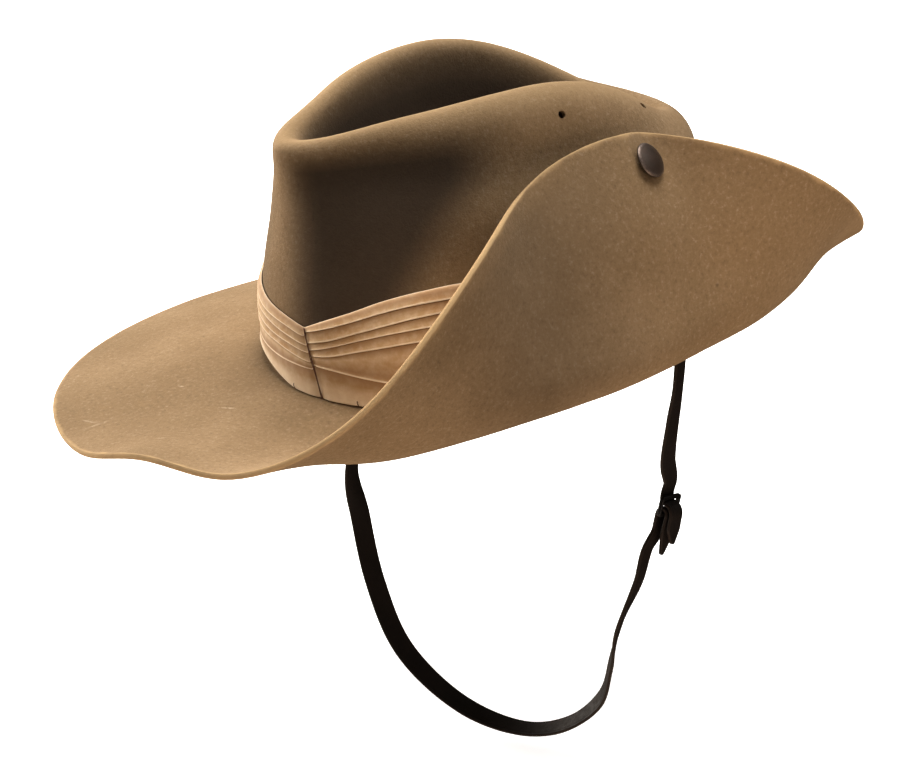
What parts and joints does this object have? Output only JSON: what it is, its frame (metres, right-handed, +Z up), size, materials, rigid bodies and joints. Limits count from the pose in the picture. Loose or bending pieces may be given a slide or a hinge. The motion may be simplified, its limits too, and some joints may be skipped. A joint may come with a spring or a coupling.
{
  "type": "slouch hat",
  "caption": "Felt slouch hat with a creased crown, wide brim turned up and studded on one side, pleated cloth band and buckled leather chin strap.",
  "frame": {"origin": "middle of the head opening at the break line where the crown meets the brim", "axes": "-Y to the front of the hat, +X to the wearer's left, where the brim is turned up, +Z up through the crown"},
  "size_m": [0.3024, 0.3854, 0.3292],
  "materials": {
    "felt": "brushed tan fur felt, worn paler at the edge",
    "band_cloth": "pleated cream cotton",
    "stud_metal": "dark bronzed",
    "strap_leather": "dark brown, half matt",
    "buckle_metal": "black japanned"
  },
  "bodies": {
    "root": {"felt_body": "felt", "puggaree": "band_cloth", "press_stud": "stud_metal", "chin_strap_long": "strap_leather", "chin_strap_short": "strap_leather", "strap_buckle": "buckle_metal"}
  },
  "joints": []
}
